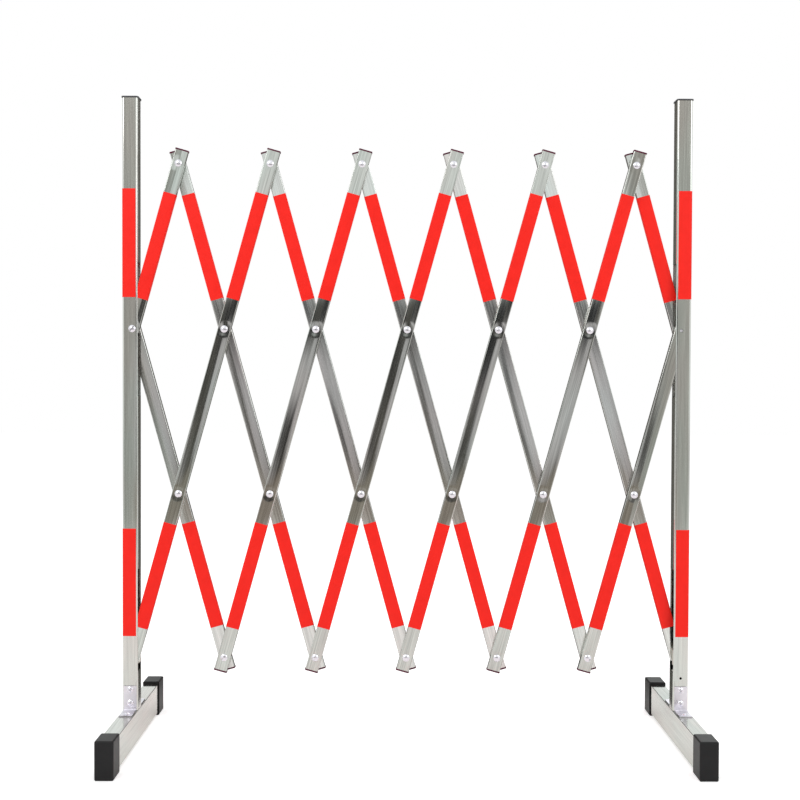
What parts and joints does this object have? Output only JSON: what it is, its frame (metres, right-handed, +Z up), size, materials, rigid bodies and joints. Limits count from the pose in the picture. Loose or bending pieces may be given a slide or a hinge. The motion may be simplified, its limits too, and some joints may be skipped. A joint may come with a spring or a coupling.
{
  "type": "expandable safety barrier",
  "caption": "Free-standing barrier whose riveted steel lattice opens and folds between two posts on rubber-tipped feet, with red warning bands.",
  "frame": {"origin": "on the floor, midway between the posts and midway along the feet", "axes": "+X along the barrier to the right post, +Y away from its front, +Z up"},
  "size_m": [1.1104, 0.434, 1.2603],
  "materials": {
    "polished_steel_tube": "bright tube with wrapped red tape bands",
    "satin_steel_tube": "satin, brushed along the tube",
    "bright_steel": "bright",
    "black_rubber": "matt moulded",
    "black_plastic": "moulded",
    "nylon": "natural"
  },
  "bodies": {
    "left_frame": {"left_post": "satin_steel_tube", "left_post_cap": "black_plastic", "left_foot_beam": "satin_steel_tube", "left_front_rubber_foot": "black_rubber", "left_rear_rubber_foot": "black_rubber", "left_front_bracket": "bright_steel", "left_rear_bracket": "bright_steel", "left_lower_foot_bolt": "bright_steel", "left_upper_foot_bolt": "bright_steel", "left_pivot_bolt": "bright_steel"},
    "left_slide": {"left_slide_block": "nylon", "left_slide_pin": "bright_steel"},
    "right_frame": {"right_post": "satin_steel_tube", "right_post_cap": "black_plastic", "right_foot_beam": "satin_steel_tube", "right_front_rubber_foot": "black_rubber", "right_rear_rubber_foot": "black_rubber", "right_front_bracket": "bright_steel", "right_rear_bracket": "bright_steel", "right_lower_foot_bolt": "bright_steel", "right_upper_foot_bolt": "bright_steel", "right_pivot_pin": "bright_steel"},
    "right_slide": {"right_slide_block": "nylon", "right_slide_pin": "bright_steel"},
    "front_strut_01": {"front_strut_01": "polished_steel_tube", "top_rivet_1": "bright_steel"},
    "rear_strut_01": {"rear_strut_01": "polished_steel_tube"},
    "front_strut_02": {"front_strut_02": "polished_steel_tube", "top_rivet_2": "bright_steel", "upper_rivet_1": "bright_steel", "lower_rivet_1": "bright_steel"},
    "rear_strut_02": {"rear_strut_02": "polished_steel_tube"},
    "front_strut_03": {"front_strut_03": "polished_steel_tube", "top_rivet_3": "bright_steel", "upper_rivet_2": "bright_steel", "lower_rivet_2": "bright_steel", "bottom_rivet_1": "bright_steel"},
    "rear_strut_03": {"rear_strut_03": "polished_steel_tube"},
    "front_strut_04": {"front_strut_04": "polished_steel_tube", "top_rivet_4": "bright_steel", "upper_rivet_3": "bright_steel", "lower_rivet_3": "bright_steel", "bottom_rivet_2": "bright_steel"},
    "rear_strut_04": {"rear_strut_04": "polished_steel_tube"},
    "front_strut_05": {"front_strut_05": "polished_steel_tube", "top_rivet_5": "bright_steel", "upper_rivet_4": "bright_steel", "lower_rivet_4": "bright_steel", "bottom_rivet_3": "bright_steel"},
    "rear_strut_05": {"rear_strut_05": "polished_steel_tube"},
    "front_strut_06": {"front_strut_06": "polished_steel_tube", "top_rivet_6": "bright_steel", "upper_rivet_5": "bright_steel", "lower_rivet_5": "bright_steel", "bottom_rivet_4": "bright_steel"},
    "rear_strut_06": {"rear_strut_06": "polished_steel_tube"},
    "front_strut_07": {"front_strut_07": "polished_steel_tube", "lower_rivet_6": "bright_steel", "bottom_rivet_5": "bright_steel"},
    "rear_strut_07": {"rear_strut_07": "polished_steel_tube"}
  },
  "joints": [
    {"name": "lattice_fold", "type": "hinge", "parent": "left_frame", "child": "rear_strut_01", "pos_m": [-0.53394, 0, 0.81095], "axis": [0, -1, 0], "range_deg": [-5, 25.5]},
    {"name": "front_strut_01_turn", "type": "hinge", "parent": "left_frame", "child": "front_strut_01", "pos_m": [-0.53394, 0, 0.81095], "axis": [0, 1, 0], "range_deg": [-5, 25.5]},
    {"name": "front_strut_02_turn", "type": "hinge", "parent": "rear_strut_01", "child": "front_strut_02", "pos_m": [-0.44495, 0, 0.49006], "axis": [0, 1, 0], "range_deg": [-10, 51]},
    {"name": "front_strut_03_turn", "type": "hinge", "parent": "rear_strut_01", "child": "front_strut_03", "pos_m": [-0.35596, 0, 0.16917], "axis": [0, 1, 0], "range_deg": [-10, 51]},
    {"name": "rear_strut_02_turn", "type": "hinge", "parent": "front_strut_02", "child": "rear_strut_02", "pos_m": [-0.35596, 0, 0.81095], "axis": [0, -1, 0], "range_deg": [-10, 51]},
    {"name": "rear_strut_03_turn", "type": "hinge", "parent": "front_strut_02", "child": "rear_strut_03", "pos_m": [-0.26697, 0, 1.13184], "axis": [0, -1, 0], "range_deg": [-10, 51]},
    {"name": "front_strut_04_turn", "type": "hinge", "parent": "rear_strut_03", "child": "front_strut_04", "pos_m": [-0.08899, 0, 0.49006], "axis": [0, 1, 0], "range_deg": [-10, 51]},
    {"name": "front_strut_05_turn", "type": "hinge", "parent": "rear_strut_03", "child": "front_strut_05", "pos_m": [0, 0, 0.16917], "axis": [0, 1, 0], "range_deg": [-10, 51]},
    {"name": "rear_strut_04_turn", "type": "hinge", "parent": "front_strut_05", "child": "rear_strut_04", "pos_m": [0.08899, 0, 0.49006], "axis": [0, -1, 0], "range_deg": [-10, 51]},
    {"name": "rear_strut_05_turn", "type": "hinge", "parent": "front_strut_05", "child": "rear_strut_05", "pos_m": [0.17798, 0, 0.81095], "axis": [0, -1, 0], "range_deg": [-10, 51]},
    {"name": "rear_strut_06_turn", "type": "hinge", "parent": "front_strut_05", "child": "rear_strut_06", "pos_m": [0.26697, 0, 1.13184], "axis": [0, -1, 0], "range_deg": [-10, 51]},
    {"name": "front_strut_06_turn", "type": "hinge", "parent": "rear_strut_06", "child": "front_strut_06", "pos_m": [0.35596, 0, 0.81095], "axis": [0, 1, 0], "range_deg": [-10, 51]},
    {"name": "front_strut_07_turn", "type": "hinge", "parent": "rear_strut_06", "child": "front_strut_07", "pos_m": [0.44495, 0, 0.49006], "axis": [0, 1, 0], "range_deg": [-10, 51]},
    {"name": "right_frame_turn", "type": "hinge", "parent": "front_strut_07", "child": "right_frame", "pos_m": [0.53394, 0, 0.81095], "axis": [0, -1, 0], "range_deg": [-5, 25.5]},
    {"name": "rear_strut_07_turn", "type": "hinge", "parent": "right_frame", "child": "rear_strut_07", "pos_m": [0.53394, 0, 0.81095], "axis": [0, -1, 0], "range_deg": [-5, 25.5]},
    {"name": "left_slide_turn", "type": "hinge", "parent": "front_strut_02", "child": "left_slide", "pos_m": [-0.53394, 0, 0.16917], "axis": [0, -1, 0], "range_deg": [-5, 25.5]},
    {"name": "right_slide_turn", "type": "hinge", "parent": "rear_strut_06", "child": "right_slide", "pos_m": [0.53394, 0, 0.16917], "axis": [0, 1, 0], "range_deg": [-5, 25.5]}
  ],
  "couplings": [
    {"joint": "front_strut_01_turn", "follows": "lattice_fold", "ratio": 1},
    {"joint": "front_strut_02_turn", "follows": "lattice_fold", "ratio": 2},
    {"joint": "front_strut_03_turn", "follows": "lattice_fold", "ratio": 2},
    {"joint": "rear_strut_02_turn", "follows": "lattice_fold", "ratio": 2},
    {"joint": "rear_strut_03_turn", "follows": "lattice_fold", "ratio": 2},
    {"joint": "front_strut_04_turn", "follows": "lattice_fold", "ratio": 2},
    {"joint": "front_strut_05_turn", "follows": "lattice_fold", "ratio": 2},
    {"joint": "rear_strut_04_turn", "follows": "lattice_fold", "ratio": 2},
    {"joint": "rear_strut_05_turn", "follows": "lattice_fold", "ratio": 2},
    {"joint": "rear_strut_06_turn", "follows": "lattice_fold", "ratio": 2},
    {"joint": "front_strut_06_turn", "follows": "lattice_fold", "ratio": 2},
    {"joint": "front_strut_07_turn", "follows": "lattice_fold", "ratio": 2},
    {"joint": "right_frame_turn", "follows": "lattice_fold", "ratio": 1},
    {"joint": "rear_strut_07_turn", "follows": "lattice_fold", "ratio": 1},
    {"joint": "left_slide_turn", "follows": "lattice_fold", "ratio": 1},
    {"joint": "right_slide_turn", "follows": "lattice_fold", "ratio": 1}
  ]
}
